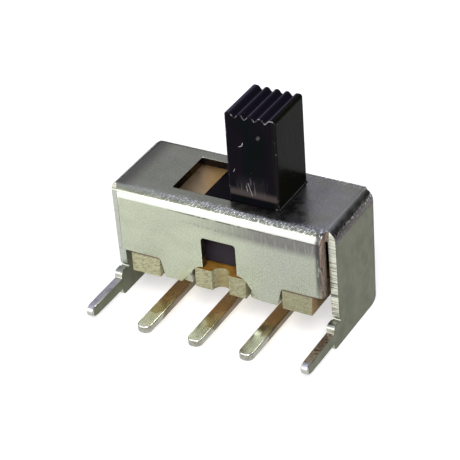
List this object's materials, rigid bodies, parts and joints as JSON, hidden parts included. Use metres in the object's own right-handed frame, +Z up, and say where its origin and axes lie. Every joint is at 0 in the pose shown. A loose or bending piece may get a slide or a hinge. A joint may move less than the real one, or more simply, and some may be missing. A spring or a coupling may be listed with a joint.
{
  "type": "slide switch",
  "caption": "Right-angle slide switch for circuit boards: folded metal shell with solder legs, flat pins and a tall ridged knob that slides between two positions.",
  "frame": {"origin": "centre of the solder footprint: on the middle pin's centre line, in the plane of the circuit board's face that the switch seats on", "axes": "+Z up along the knob, +X along the knob's travel towards the end where it rests, -Y out along the pins into the circuit board"},
  "size_m": [0.0132, 0.0087, 0.0121],
  "materials": {
    "nickel_plate": "bright nickel plate on rolled steel",
    "phenolic_board": "glossy laminate with rough sheared edges",
    "tinned_brass": "bright tin plate",
    "black_plastic": "moulded, semi-gloss, lightly scratched",
    "spring_bronze": "rolled spring strip"
  },
  "bodies": {
    "housing": {"shell": "nickel_plate", "base_board": "phenolic_board", "terminal_left": "tinned_brass", "terminal_centre": "tinned_brass", "terminal_right": "tinned_brass"},
    "slider": {"slider": "black_plastic", "moving_contact": "spring_bronze"}
  },
  "joints": [
    {"name": "knob_travel", "type": "slide", "parent": "housing", "child": "slider", "axis": [1, 0, 0], "range_m": [-0.0033, 0]}
  ]
}
